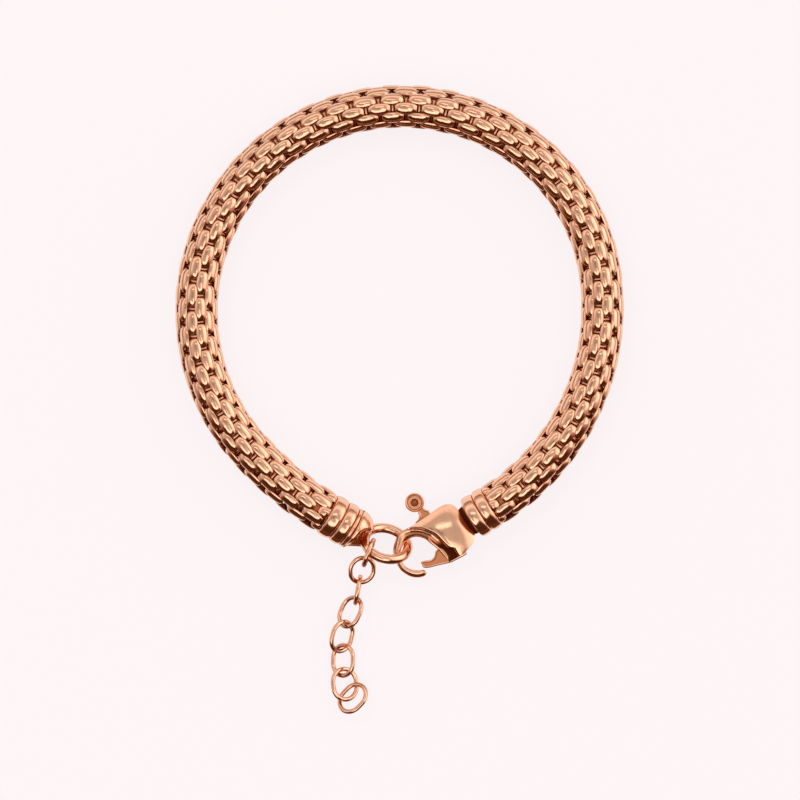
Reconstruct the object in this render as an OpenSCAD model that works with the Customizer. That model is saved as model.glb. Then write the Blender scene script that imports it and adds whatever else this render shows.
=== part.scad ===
// Popcorn chain bracelet lying closed: hollow mesh chain, ribbed end caps, jump ring,
// lobster clasp with a sprung lever and a short extension chain. Millimetres, +Z up.
// The origin is the middle of the wrist opening, on the surface that the bracelet lies on.

/* [Chain] */
// Outer diameter of the hollow chain
chain_d = 6.5; // [6.2:0.1:6.6]
// Bore of the hollow chain
chain_bore = 4.5; // [4:0.1:4.8]

/* [End caps] */
// Outer diameter over the ribs
cap_d = 6.6; // [6.5:0.1:6.8]
// Diameter between the ribs
cap_core_d = 5.8; // [5.6:0.1:6]

/* [Jump ring] */
// Diameter of the jump ring along the middle of its wire
ring_d = 6.6; // [6.5:0.05:6.7]
// Wire of the jump ring
ring_wire = 1.4; // [1.2:0.05:1.4]

/* [Clasp] */
// Thickness of the clasp over its dome
clasp_t = 4.4; // [4:0.1:4.8]
// Diameter of the hook's round section
hook_d = 1.2; // [1:0.1:1.2]
// Thickness of the rim around the window
rim_t = 1.4; // [1.3:0.1:1.5]
// Thickness of the lever plate
lever_t = 0.9; // [0.7:0.1:0.9]
// Diameter of the lever's thumb ball
ball_d = 2.9; // [2.6:0.1:3.1]
// How far the lever is pulled open, in degrees
lever_open = 0; // [0:1:18]

/* [Extension chain] */
// Wire of the small links
link_wire = 0.6; // [0.5:0.05:0.6]

/* [Hidden] */
rose = [0.88, 0.62, 0.5];
dark_rose = [0.72, 0.44, 0.34];

// The chain's route: it leaves the left cap at route_start and turns clockwise through
// tangent arcs, each a radius and an angle.
route_start = [-11, -30.3];
route_heading = 149;
route = [[50, 18], [30.75, 170], [29, 44], [35, 65]];
axis_z = cap_d / 2;
spigot_d = 5.2;
spigot_l = 1.4;
sides = 12;
cup_d = 5.4;
neck_d = 1.8;
bail_r = 1.25;

// The jump ring's middle, its long axis as seen from above and its tilt about that axis
ring_at = [-2.05, -34.9, 3.2];
ring_turn = -17;
ring_tilt = -48;

// The clasp's frame: X from the middle of the hook's window towards the neck
clasp_at = [2.48, -36.38, 3.2];
clasp_turn = 32.5;
window_at = [0.1, 0.05];
window_r = 2.45;
hook_r = 3;
dome_at = [5.6, 0.1];
dome_r = 9;
slot_t = lever_t + 0.2;
pivot = [5, -0.9];
ball_at = [3.86, 6.61];
pin_d = 0.8;

// Link sizes along the middle of the wire: [length, width]
small_link = [4, 3.6];
large_link = [4.6, 3.9];
// Each link's middle, its long axis as seen from above, its rise and its roll
link_poses = [
  [[-4.69, -36.23, 4.48], -111, 0, 93],
  [[-5.69, -38.87, 3.2], 89, 23, 16],
  [[-6.32, -41.87, 2.11], -100.5, 0, 91],
  [[-7.46, -45.18, 1.89], 65, 0, -45],
  [[-8.7, -48.85, 1.9], 77, 7, 43],
  [[-8.55, -52.45, 1.6], 88, -1, -40],
  [[-8.3, -56.05, 1.25], 97, -1, 28],
  [[-7.1, -58.1, 1.8], 45, 4, -38]
];

function normal(h) = [sin(h), -cos(h)];
function heading(i) = i == 0 ? route_heading : heading(i - 1) - route[i - 1][1];
function station(i) =
  i == 0 ? route_start : middle(i - 1) - route[i - 1][0] * normal(heading(i));
function middle(i) = station(i) + route[i][0] * normal(heading(i));

route_end = station(len(route));
end_heading = heading(len(route));

// A straight length from a point along a heading, level with the chain's axis
module along(at, h) {
  translate([at[0], at[1], axis_z]) rotate([0, 0, h]) rotate([0, 90, 0]) children();
}

// The chain's sections from cap to cap: place, heading and outer diameter. The narrowed
// ends sit in the caps' cups.
function ahead(at, h, d) = at + d * [cos(h), sin(h)];
function on_arc(i, a) = middle(i) - route[i][0] * normal(heading(i) - a);
sections = concat(
  [
    [ahead(route_start, route_heading, -spigot_l), route_heading, spigot_d],
    [ahead(route_start, route_heading, -0.1), route_heading, spigot_d]
  ],
  [
    for (i = [0:len(route) - 1])
      let (steps = ceil(route[i][1] / 5.5))
        for (k = [0:steps - 1])
          let (a = route[i][1] * k / steps)
            [on_arc(i, a), heading(i) - a, chain_d]
  ],
  [
    [route_end, end_heading, chain_d],
    [ahead(route_end, end_heading, 0.1), end_heading, spigot_d],
    [ahead(route_end, end_heading, spigot_l), end_heading, spigot_d]
  ]
);

function section_points(s, d) = [
  for (j = [0:sides - 1])
    let (a = 360 * j / sides, side = s[0] - d / 2 * cos(a) * normal(s[1]))
      [side[0], side[1], axis_z + d / 2 * sin(a)]
];

module chain() {
  count = len(sections);
  points = [
    for (s = sections) each section_points(s, s[2]),
    for (s = sections) each section_points(s, chain_bore)
  ];
  skins = [
    for (i = [0:count - 2], j = [0:sides - 1])
      let (
        a = i * sides + j, b = i * sides + (j + 1) % sides,
        c = a + sides, d = b + sides, deep = count * sides
      )
        each [
          [a, b, d], [a, d, c],
          [b + deep, a + deep, c + deep], [b + deep, c + deep, d + deep]
        ]
  ];
  ends = [
    for (j = [0:sides - 1])
      let (
        a = j, b = (j + 1) % sides, deep = count * sides, last = (count - 1) * sides
      )
        each [
          [b, a, a + deep], [b, a + deep, b + deep],
          [a + last, b + last, b + last + deep], [a + last, b + last + deep, a + last + deep]
        ]
  ];
  color(rose) polyhedron(points = points, faces = concat(skins, ends));
}

// A rounded rib around the cap's axis
module rib(x, half) {
  translate([0, 0, x])
    rotate_extrude($fn = 96) translate([cap_d / 2 - half, 0]) circle(r = half, $fn = 48);
}

// The left cap's end: a dome and the bail, a short sleeve around the jump ring's wire
module bail() {
  along(route_start, route_heading + 180) intersection() {
    translate([0, 0, 4.5]) sphere(r = 3.25, $fn = 96);
    translate([0, 0, 4.6]) cylinder(r = 4, h = 2.8, $fn = 96);
  }
  ring_place() rotate([0, 0, -20]) translate([-ring_d / 2, 0, 0]) rotate([90, 0, 0])
    translate([0, 0, -0.8]) cylinder(r = bail_r, h = 1.6, $fn = 64);
}

module end_cap_left() {
  color(rose) difference() {
    union() {
      along(route_start, route_heading + 180) {
        translate([0, 0, 0.1]) cylinder(d = cap_core_d, h = 5.1, $fn = 96);
        rib(0.95, 0.85);
        rib(2.85, 0.85);
        rib(4.75, 0.85);
      }
      bail();
    }
    along(route_start, route_heading + 180) {
      cylinder(d = cup_d, h = 1.9, $fn = 96);
      cylinder(d = chain_bore, h = 3.6, $fn = 96);
      translate([-4, -5, 5.3]) cube([8, 3.4, 3]);
      translate([-4.5, -0.9, 7.5]) rotate([0, 90, 0]) cylinder(r = 2.2, h = 4.5, $fn = 96);
    }
    ring_place() ring_solid(ring_wire / 2 + 0.15);
  }
}

module end_cap_right() {
  color(rose) difference() {
    union() {
      along(route_end, end_heading) {
        translate([0, 0, 0.1]) cylinder(d = cap_core_d, h = 3.6, $fn = 96);
        rib(0.8, 0.7);
        rib(1.95, 0.4);
        rib(3.05, 0.75);
        cylinder(d = 3, h = 4.3, $fn = 64);
        cylinder(d = neck_d, h = 5.6, $fn = 64);
      }
    }
    along(route_end, end_heading) translate([0, 0, -0.1]) cylinder(d = cup_d, h = 2, $fn = 96);
  }
}

// Places its children in the jump ring's frame
module ring_place() {
  translate(ring_at) rotate([0, 0, ring_turn]) rotate([ring_tilt, 0, 0]) children();
}

module ring_solid(r) {
  rotate_extrude($fn = 128) translate([ring_d / 2, 0]) circle(r = r, $fn = 48);
}

module jump_ring() {
  color(rose) ring_place() ring_solid(ring_wire / 2);
}

// Places its children in the clasp's frame
module clasp_place() {
  translate(clasp_at) rotate([0, 0, clasp_turn]) children();
}

// The clasp's plan without its window and gate
module clasp_plan() {
  translate([0.45, 0.35]) circle(r = 3.65, $fn = 96);
  translate([5, 0.35]) circle(r = 4, $fn = 96);
  polygon([[0.3, 4], [5, 4.35], [7.9, 3.65], [9.1, 2.6], [9.1, -2.6], [7.4, -3.3], [5, -3.65], [0.3, -3.3]]);
}

// The open sector between the hook's tip and the body, where the gate lies
module gate_gap() {
  polygon([[0, 0], [2.9, -0.9], [3.65, -3.7], [3.7, -5], [-0.2, -5], [-0.4, -3.5], [-0.65, -2.2]]);
}

// The slot in the middle of the body, open on both long sides
module slot_plan() {
  difference() {
    polygon([[2.1, 6], [7.1, 6], [6.7, -5], [2, -5], [2, 0], [3.85, 0], [3.35, 3.7], [2.1, 3.7]]);
    difference() {
      translate(window_at) circle(r = 3.3, $fn = 96);
      translate([0, -5.6]) square([5, 6]);
    }
  }
}

// The flat rim and the domed body beside the window
module clasp_shell() {
  difference() {
    union() {
      translate([0, 0, -rim_t / 2]) linear_extrude(height = rim_t) intersection() {
        clasp_plan();
        polygon([[1.4, -5], [1.4, 2.6], [0.6, 3.2], [-1.5, 3.35], [-1.5, 6], [12, 6], [12, -5]]);
      }
      intersection() {
        translate([0, 0, -3]) linear_extrude(height = 6) difference() {
          clasp_plan();
          translate([0.2, 0]) circle(r = 3.75, $fn = 96);
          translate([2, -5]) square([2.2, 4.6]);
        }
        translate([dome_at[0], dome_at[1], clasp_t / 2 - dome_r]) sphere(r = dome_r, $fn = 128);
        translate([dome_at[0], dome_at[1], dome_r - clasp_t / 2]) sphere(r = dome_r, $fn = 128);
      }
    }
    translate([window_at[0], window_at[1], -3]) cylinder(r = window_r, h = 6, $fn = 96);
  }
}

module clasp_body() {
  color(rose) clasp_place() difference() {
    union() {
      clasp_shell();
      translate([window_at[0], window_at[1], 0]) rotate([0, 0, 60])
        rotate_extrude(angle = 215, $fn = 128) translate([hook_r, 0]) circle(d = hook_d, $fn = 48);
    }
    translate([0, 0, -3]) linear_extrude(height = 6) gate_gap();
    translate([0, 0, -slot_t / 2]) linear_extrude(height = slot_t) slot_plan();
    translate([4, -5, 0]) cube([1.05, 3.4, 4]);
    translate([pivot[0], pivot[1], -1.2]) cylinder(d = pin_d + 0.04, h = 2.4, $fn = 48);
    neck_bore();
  }
}

// The socket for the right cap's neck, in the clasp's frame
module neck_bore() {
  rotate([0, 0, -clasp_turn]) translate(-clasp_at)
    along(route_end, end_heading) cylinder(d = neck_d + 0.1, h = 5.8, $fn = 64);
}

// The lever's plan at rest, in the clasp's frame
module lever_plan() {
  translate(pivot) circle(r = 1.15, $fn = 64);
  polygon([[4.35, -1], [5.65, -0.8], [4.6, 6], [3.3, 5.8]]);
  polygon([[2.3, 4.15], [2.3, 3.85], [5.05, 3.85], [5.05, 4.6], [3.6, 4.75]]);
  polygon([
    [-0.2, -1.5], [0.75, -1.75], [1.4, -1.85], [2, -1.7], [2.45, -1.3], [2.8, -1.05], [3.9, -0.7],
    [5.6, -0.6], [6.2, -2], [6.4, -3.9], [5.7, -4], [3.7, -3.85], [1.9, -3.5], [0.5, -2.95], [-0.15, -2.5]
  ]);
}

module clasp_lever() {
  color(rose) clasp_place()
    translate(pivot) rotate([0, 0, -lever_open]) translate(-pivot) difference() {
      union() {
        translate([0, 0, -lever_t / 2]) linear_extrude(height = lever_t) lever_plan();
        translate([ball_at[0], ball_at[1], -0.5]) cylinder(d = ball_d, h = 1, $fn = 64);
        translate([ball_at[0], ball_at[1], 0.5])
          cylinder(d1 = ball_d, d2 = ball_d - 0.6, h = 0.3, $fn = 64);
        translate([ball_at[0], ball_at[1], -0.8])
          cylinder(d1 = ball_d - 0.6, d2 = ball_d, h = 0.3, $fn = 64);
      }
      translate([pivot[0], pivot[1], -1]) cylinder(d = pin_d + 0.1, h = 2, $fn = 48);
      translate([ball_at[0], ball_at[1], -0.2]) cylinder(d = 1, h = 2, $fn = 48);
    }
}

module clasp_pin() {
  color(dark_rose) clasp_place()
    translate([pivot[0], pivot[1], -1.1]) cylinder(d = pin_d, h = 2.2, $fn = 48);
}

// An oval wire link: size along its wire's middle, lying flat
module wire_link(size) {
  straight = size[0] - size[1];
  for (s = [-1, 1]) {
    translate([s * straight / 2, 0, 0]) rotate([0, 0, -s * 90])
      rotate_extrude(angle = 180, $fn = 96)
        translate([size[1] / 2, 0]) circle(d = link_wire, $fn = 32);
    translate([-straight / 2, s * size[1] / 2, 0]) rotate([0, 90, 0])
      cylinder(d = link_wire, h = straight, $fn = 32);
  }
}

module extension_link(i) {
  pose = link_poses[i - 1];
  color(rose) translate(pose[0]) rotate([0, 0, pose[1]]) rotate([0, -pose[2], 0]) rotate([pose[3], 0, 0])
    wire_link(i < 4 ? small_link : large_link);
}

module extension_link_1() { extension_link(1); }
module extension_link_2() { extension_link(2); }
module extension_link_3() { extension_link(3); }
module extension_link_4() { extension_link(4); }
module extension_link_5() { extension_link(5); }
module extension_link_6() { extension_link(6); }
module extension_link_7() { extension_link(7); }
module extension_link_8() { extension_link(8); }

chain();
end_cap_left();
end_cap_right();
jump_ring();
clasp_body();
clasp_lever();
clasp_pin();
extension_link_1();
extension_link_2();
extension_link_3();
extension_link_4();
extension_link_5();
extension_link_6();
extension_link_7();
extension_link_8();
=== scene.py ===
# %% [markdown]
# Popcorn chain bracelet in rose gold, lying closed on a table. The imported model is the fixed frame:
# it gives the caps, the clasp, the lever and the small links their places, and the chain as a plain
# tube. This lesson dresses that frame: it builds the popcorn mesh around the tube's route, finer
# shapes for the fittings, and the rose-gold plating that covers all of them.

import math
import random

import bmesh
import bpy
from mathutils import Euler, Matrix, Vector


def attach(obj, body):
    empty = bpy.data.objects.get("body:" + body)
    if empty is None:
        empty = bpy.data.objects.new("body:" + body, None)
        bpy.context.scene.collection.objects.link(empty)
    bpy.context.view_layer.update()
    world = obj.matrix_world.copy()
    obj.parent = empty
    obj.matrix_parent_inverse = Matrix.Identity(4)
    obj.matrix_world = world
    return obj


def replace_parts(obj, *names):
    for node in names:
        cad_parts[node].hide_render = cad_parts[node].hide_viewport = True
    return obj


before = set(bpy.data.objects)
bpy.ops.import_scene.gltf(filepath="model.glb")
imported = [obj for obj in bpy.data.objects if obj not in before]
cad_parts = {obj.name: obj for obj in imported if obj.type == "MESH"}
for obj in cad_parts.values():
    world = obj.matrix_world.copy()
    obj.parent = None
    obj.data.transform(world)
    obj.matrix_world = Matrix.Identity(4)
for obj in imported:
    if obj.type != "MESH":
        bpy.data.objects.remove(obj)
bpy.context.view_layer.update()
MM = 0.001
print("nodes:", sorted(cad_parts))

# %% [markdown]
# The camera comes first. The picture was taken from straight above with almost no perspective. An
# orthographic camera would do for that one view, but a very long lens far up shows the same strip
# of table, 120 mm wide, and still behaves like a real camera from the other sides.

# %% Camera
VIEW_WIDTH = 120 * MM
VIEW_MIDDLE = Vector((0, -13.35, 3.2)) * MM
LENS = 400
SENSOR = 36
NEAREST = 0.05
FARTHEST = 5

camera_data = bpy.data.cameras.new("camera")
camera_data.lens = LENS
camera_data.sensor_width = SENSOR
camera_data.dof.use_dof = False
camera_data.clip_start = NEAREST
camera_data.clip_end = FARTHEST
camera_height = VIEW_WIDTH * LENS / SENSOR
camera = bpy.data.objects.new("camera", camera_data)
camera.location = VIEW_MIDDLE + Vector((0, 0, camera_height))
bpy.context.scene.collection.objects.link(camera)
bpy.context.scene.camera = camera
print("camera height", round(camera_height, 3))

# %% [markdown]
# Shader maths reads best as plain expressions. Signal wraps one output socket: an operator on it
# adds the Math node, and node() adds any other node from its type, its settings and its inputs.

# %% Shader helpers
class Signal:
    def __init__(self, tree, socket):
        self.tree = tree
        self.socket = socket

    def math(self, operation, other):
        return node(self.tree, "ShaderNodeMath", {"operation": operation}, {0: self, 1: other})

    def __add__(self, other):
        return self.math("ADD", other)

    def __radd__(self, other):
        return self.math("ADD", other)

    def __sub__(self, other):
        return self.math("SUBTRACT", other)

    def __rsub__(self, other):
        return (self * -1.0) + other

    def __mul__(self, other):
        return self.math("MULTIPLY", other)

    def __rmul__(self, other):
        return self.math("MULTIPLY", other)

    def __truediv__(self, other):
        return self.math("DIVIDE", other)

    def __pow__(self, other):
        return self.math("POWER", other)


def node(tree, kind, settings=None, inputs=None, output=0):
    made = tree.nodes.new(kind)
    for name, value in (settings or {}).items():
        setattr(made, name, value)
    for name, value in (inputs or {}).items():
        if isinstance(value, Signal):
            tree.links.new(value.socket, made.inputs[name])
        else:
            made.inputs[name].default_value = value
    return Signal(tree, made.outputs[output])


print("operators of a signal: + - * / **")

# %% [markdown]
# Polished metal shows its surroundings, so the studio is half of the finish. It could be built from
# real panels, but a world that paints them by direction gives clean, noise-free reflections. Each
# reflection looks along one direction, whose three parts say how far it points to the right, to the
# back and upwards. forward and rightward turn them into the points of a compass.

# %% Studio directions
NEVER_ZERO = 0.0001

world = bpy.data.worlds.new("studio")
bpy.context.scene.world = world
world.use_nodes = True
studio = world.node_tree
studio.nodes.clear()
direction = node(studio, "ShaderNodeTexCoord")
split = node(studio, "ShaderNodeSeparateXYZ", {}, {0: direction})
side, depth, height = [Signal(studio, output) for output in split.socket.node.outputs]
flat = (side * side + depth * depth + NEVER_ZERO) ** 0.5
forward = (depth * -1.0) / flat
rightward = side / flat
print("studio nodes for directions", len(studio.nodes))

# %% [markdown]
# The table is pale and the tent over it is an even light grey that darkens along the horizon. A
# bright panel hangs high at the front, over the dark gap of the open tent, and rises a little
# towards the right, where a tall side light stands. A smaller panel is overhead and a faint one at
# the back. The camera's arm is two dark shapes beside the middle. Right under a piece the table is
# in its shade. Each part is a band of directions with soft edges, which are quick to move until the
# reflections lie as in the picture.

# %% Studio parts
FRONT_STEP = (0.25, 0.65)
RIGHT_STEP = (0.45, 0.85)
BACK_STEP = (0.2, -0.3)
BELOW_STEP = (-0.25, 0.0)
FOOT_STEP = (-0.97, -0.86)
OVERHEAD_STEP = (0.3, 0.5)
GAP_START = (-0.77, -0.71)
GAP_END = (0.63, 0.69)
PANEL_RISE = 0.2
PANEL_BAND = (0.69, 0.91, 0.03)
SIDE_BAND = (0.0, 0.82, 0.06)
HORIZON_BAND = (-0.2, 0.1, 0.06)
BACK_BAND = (0.28, 0.64, 0.05)
TOP_PANEL_SIDE = (-0.22, 0.16, 0.03)
TOP_PANEL_DEPTH = (0.30, 0.44, 0.02)
LENS_SIDE = (-0.27, 0.0, 0.05)
LENS_DEPTH = (0.0, 0.23, 0.04)
STAND_SIDE = (-0.46, -0.36, 0.03)
STAND_DEPTH = (-0.04, 0.26, 0.04)


def smooth(signal, low, high):
    """0 below low, 1 above high, and a soft step between them."""
    return node(signal.tree, "ShaderNodeMapRange", {"interpolation_type": "SMOOTHSTEP"},
                {0: signal, 1: low, 2: high, 3: 0.0, 4: 1.0})


def between(signal, low, high, soft):
    """1 from low to high, with soft edges."""
    return smooth(signal, low - soft, low + soft) * (1.0 - smooth(signal, high - soft, high + soft))


front = smooth(forward, *FRONT_STEP)
right = smooth(rightward, *RIGHT_STEP) * (1.0 - front)
above = smooth(height, *OVERHEAD_STEP)
below = 1.0 - smooth(height, *BELOW_STEP)
foot = 1.0 - smooth(height, *FOOT_STEP)
lifted = height - rightward.math("MAXIMUM", 0.0) * PANEL_RISE
front_panel = front * between(lifted, *PANEL_BAND)
side_light = right * between(height, *SIDE_BAND)
back_light = smooth(forward, *BACK_STEP) * between(height, *BACK_BAND)
top_panel = between(side, *TOP_PANEL_SIDE) * between(depth, *TOP_PANEL_DEPTH) * above
gap = front * smooth(height, *GAP_START) * (1.0 - smooth(lifted, *GAP_END))
horizon = between(height, *HORIZON_BAND) * (1.0 - front)
lens = between(side, *LENS_SIDE) * between(depth, *LENS_DEPTH)
stand = between(side, *STAND_SIDE) * between(depth, *STAND_DEPTH)
arm = (lens + stand) * above
print("studio nodes for parts", len(studio.nodes))

# %% [markdown]
# Now each part gets its brightness, and each dark part says what share of the light it takes away.
# The dark gap is also warmer than the rest, as where one polished piece mirrors another.

# %% Studio light
TENT = 0.64
FLOOR = 1.1
PANEL = 1.25
SIDE_LIGHT = 0.8
BACK_LIGHT = 0.5
FOOT_SHADE = 0.5
HORIZON_SHADE = 0.5
GAP_SHADE = 0.88
ARM_SHADE = 0.5
GREEN_SHARE = 0.985
GREEN_LOSS = 0.6
BLUE_SHARE = 0.98
BLUE_LOSS = 0.8

light = TENT + below * (FLOOR - TENT) + (front_panel + top_panel) * PANEL
light = light + side_light * SIDE_LIGHT + back_light * BACK_LIGHT
light = light * (1.0 - foot * FOOT_SHADE) * (1.0 - horizon * HORIZON_SHADE)
light = light * (1.0 - gap * GAP_SHADE) * (1.0 - arm * ARM_SHADE)
green = light * (GREEN_SHARE - gap * GREEN_LOSS)
blue = light * (BLUE_SHARE - gap * BLUE_LOSS)
tint = node(studio, "ShaderNodeCombineColor", {}, {0: light, 1: green, 2: blue})
background = node(studio, "ShaderNodeBackground", {}, {"Color": tint, "Strength": 1.0})
world_out = studio.nodes.new("ShaderNodeOutputWorld")
studio.links.new(background.socket, world_out.inputs["Surface"])
print("studio nodes in all", len(studio.nodes))

# %% [markdown]
# One large soft lamp gives the faint shadows. It stays out of the reflections, because the world
# already paints what the metal sees. The colours are shown as they are, without a film curve, so
# that the pale table comes out as pale as in the picture.

# %% Soft main light
LAMP_PLACE = Vector((-0.35, 0.45, 0.9))
LAMP_SIZE = (0.5, 0.35)
LAMP_POWER = 2.0
LAMP_COLOUR = (1.0, 0.98, 0.97)

lamp_data = bpy.data.lights.new("main_light", "AREA")
lamp_data.shape = "RECTANGLE"
lamp_data.size, lamp_data.size_y = LAMP_SIZE
lamp_data.energy = LAMP_POWER
lamp_data.color = LAMP_COLOUR
lamp = bpy.data.objects.new("main_light", lamp_data)
lamp.location = LAMP_PLACE
lamp.rotation_mode = "QUATERNION"
lamp.rotation_quaternion = (LAMP_PLACE - VIEW_MIDDLE).to_track_quat("Z", "Y")
lamp.visible_glossy = False
bpy.context.scene.collection.objects.link(lamp)
bpy.context.scene.view_settings.view_transform = "Standard"
bpy.context.scene.view_settings.look = "None"
bpy.context.scene.cycles.caustics_reflective = False
print("main light at m", [round(c, 2) for c in LAMP_PLACE])

# %% [markdown]
# The table is a pale pink acrylic sheet lit from below, as for catalogue pictures, which is why the
# real shadows are so faint. The sheet glows by itself, and the rest of its light falls on it. It
# shines brighter in the metal than to the camera, so the metal doesn't see the sheet: the world's
# lower half stands in for it there.

# %% Pale table
TABLE_TINT = (1.0, 0.921, 0.931)
TABLE_GLOW = 0.905
TABLE_PAINT = 0.09
TABLE_HALF = 2.0
TABLE_DROP = 0.02 * MM


def finished(shape, name):
    """The bmesh as a mesh; the bmesh is freed."""
    mesh = bpy.data.meshes.new(name)
    shape.to_mesh(mesh)
    shape.free()
    return mesh


def material(name):
    made = bpy.data.materials.new(name)
    made.use_nodes = True
    made.node_tree.nodes.clear()
    return made, made.node_tree


def surface(tree, shader):
    out = tree.nodes.new("ShaderNodeOutputMaterial")
    tree.links.new(shader.socket, out.inputs["Surface"])


def table():
    shape = bmesh.new()
    bmesh.ops.create_grid(shape, x_segments=1, y_segments=1, size=TABLE_HALF)
    made = bpy.data.objects.new("table", finished(shape, "table"))
    made.location = (0, 0, -TABLE_DROP)
    made.visible_glossy = False
    bpy.context.scene.collection.objects.link(made)
    paint, tree = material("table_paint")
    glow = node(tree, "ShaderNodeEmission", {}, {"Color": (*TABLE_TINT, 1), "Strength": TABLE_GLOW})
    painted = [c * TABLE_PAINT for c in TABLE_TINT]
    coat = node(tree, "ShaderNodeBsdfDiffuse", {}, {"Color": (*painted, 1)})
    surface(tree, node(tree, "ShaderNodeAddShader", {}, {0: glow, 1: coat}))
    made.data.materials.append(paint)
    return made


print("table", round(table().dimensions.x, 2), "m wide")

# %% [markdown]
# The plating is polished rose gold. Up close it isn't one flat colour: fine polishing lines and a
# faint unevenness break the reflections, and the shade in hollows, grooves, under edges and along
# wires is painted into the colour as a redder tone. Painting that by position would slide when a
# piece is moved, so each mesh says it itself, in an attribute: 0 is no painted shade, 1 a red-brown
# shade and 2 nearly black. The hood of the left cap glows orange inside, where the metal mirrors
# itself many times; that glow is a painted reflection on the wall that the "hollow" attribute
# marks. A mesh without the attributes gets neither.

# %% Rose-gold plating
ROSE = (0.93, 0.50, 0.315)
SHADE_TONE = (0.62, 0.19, 0.06)
SHADOW_TONE = (0.11, 0.02, 0.006)
HOLLOW_REFLECTION = (1.0, 0.22, 0.03)
CLOUD_SCALE = 900.0
WAVE_SCALE = 1500.0
LINE_SCALE = 5200.0
CLOUDED = 0.93
CLOUD_STEP = (0.3, 0.7)
CLOUD_ROUGHNESS = 0.06
LINE_DEPTH = 0.1
SHADE_ROUGHNESS = 0.3
HOLLOW_ROUGHNESS = 0.35
HOLLOW_DULLING = 0.8


def noise(place, scale, detail):
    return node(place.tree, "ShaderNodeTexNoise", {}, {"Vector": place, "Scale": scale, "Detail": detail})


def layer(tree, name):
    return node(tree, "ShaderNodeAttribute", {"attribute_name": name}, {}, output=2)


def mixed(factor, first, second):
    """A colour between two, each of them a signal or a plain colour."""
    first, second = [c if isinstance(c, Signal) else (*c, 1) for c in (first, second)]
    return node(factor.tree, "ShaderNodeMix", {"data_type": "RGBA"},
                {"Factor": factor, 6: first, 7: second}, output=2)


def rose_gold(name, roughness=0.11, unevenness=0.02 * MM, with_painted_shade=False):
    made, tree = material(name)
    place = node(tree, "ShaderNodeTexCoord", output=3)
    cloud = noise(place, CLOUD_SCALE, 3.0)
    base = mixed(smooth(cloud, *CLOUD_STEP), [c * CLOUDED for c in ROSE], ROSE)
    rough = roughness + (cloud - 0.5) * CLOUD_ROUGHNESS
    metal = 1.0
    if with_painted_shade:
        painted_shade = layer(tree, "painted_shade")
        hollow = layer(tree, "hollow")
        # Painted shade: the colour turns red-brown, then nearly black; the hood's hollow gets a painted
        # orange reflection.
        base = mixed(hollow, mixed(painted_shade - 1.0, mixed(painted_shade, base, SHADE_TONE), SHADOW_TONE), HOLLOW_REFLECTION)
        rough = rough + painted_shade * SHADE_ROUGHNESS + hollow * HOLLOW_ROUGHNESS
        metal = 1.0 - hollow * HOLLOW_DULLING
    relief = noise(place, WAVE_SCALE, 1.0) + noise(place, LINE_SCALE, 2.0) * LINE_DEPTH
    bump = node(tree, "ShaderNodeBump", {}, {"Strength": 1.0, "Distance": unevenness, "Height": relief})
    surface(tree, node(tree, "ShaderNodeBsdfPrincipled", {},
                       {"Base Color": base, "Metallic": metal, "Roughness": rough, "Normal": bump}))
    print(name, "nodes", len(tree.nodes))
    return made


plating = rose_gold("rose_gold_plating")
chain_plating = rose_gold("rose_gold_chain", with_painted_shade=True)
fitting_plating = rose_gold("rose_gold_fittings", roughness=0.13, unevenness=0.008 * MM, with_painted_shade=True)

# %% [markdown]
# The chain's route is the same as the tube's: tangent arcs that turn clockwise from the left cap.
# A curve object could carry the pieces too, but arcs are exact and easy to walk along:
# route_frame() turns a distance into a frame whose X runs along the chain and whose Z points up.

# %% Chain route
ROUTE_START = Vector((-11, -30.3)) * MM
ROUTE_HEADING = math.radians(149)
ROUTE_ARCS = [(50, 18), (30.75, 170), (29, 44), (35, 65)]
AXIS_HEIGHT = 3.3 * MM
ARRIVED = 1e-9
route_length = sum(radius * MM * math.radians(turn) for radius, turn in ROUTE_ARCS)


def route_frame(distance):
    place = ROUTE_START.copy()
    heading = ROUTE_HEADING
    left = distance
    for index, (radius, turn) in enumerate(ROUTE_ARCS):
        radius *= MM
        angle = left / radius
        if index < len(ROUTE_ARCS) - 1:
            angle = min(angle, math.radians(turn))
        middle = place + radius * Vector((math.sin(heading), -math.cos(heading)))
        heading -= angle
        place = middle - radius * Vector((math.sin(heading), -math.cos(heading)))
        left -= angle * radius
        if left <= ARRIVED:
            break
    return Matrix.Translation((place.x, place.y, AXIS_HEIGHT)) @ Matrix.Rotation(heading, 4, "Z")


print("chain length mm", round(route_length / MM, 1))

# %% [markdown]
# A kernel is one popped bead: a half-round barrel lying along the chain. Its ends are cut off at a
# slant, and its underside draws in like a golf tee to a foot that stands on the ring below. It
# starts as a small grid whose rows are bent into arches, and the rim is extruded down to the foot.
# A subdivided sphere would be rounder, but hundreds of kernels need a mesh of a few dozen faces.

# %% One kernel
KERNEL_STATIONS = [0.0, 0.74, 1.28, 1.63]
KERNEL_HALF_WIDTHS = [0.93, 0.87, 0.73, 0.52]
KERNEL_HEIGHTS = [0.44, 0.425, 0.34, 0.07]
ARCH = [(0.0, 1.0), (0.48, 0.84), (0.88, 0.42), (1.0, 0.0)]
FOOT_LENGTH = 0.19
FOOT_WIDTH = 0.45
FOOT_DROP = 0.36
# Painted shade on the kernel's rim and on its foot, which lie in the shadow of the kernels around.
KERNEL_RIM_SHADE = 0.4
KERNEL_FOOT_SHADE = 0.7


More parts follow.
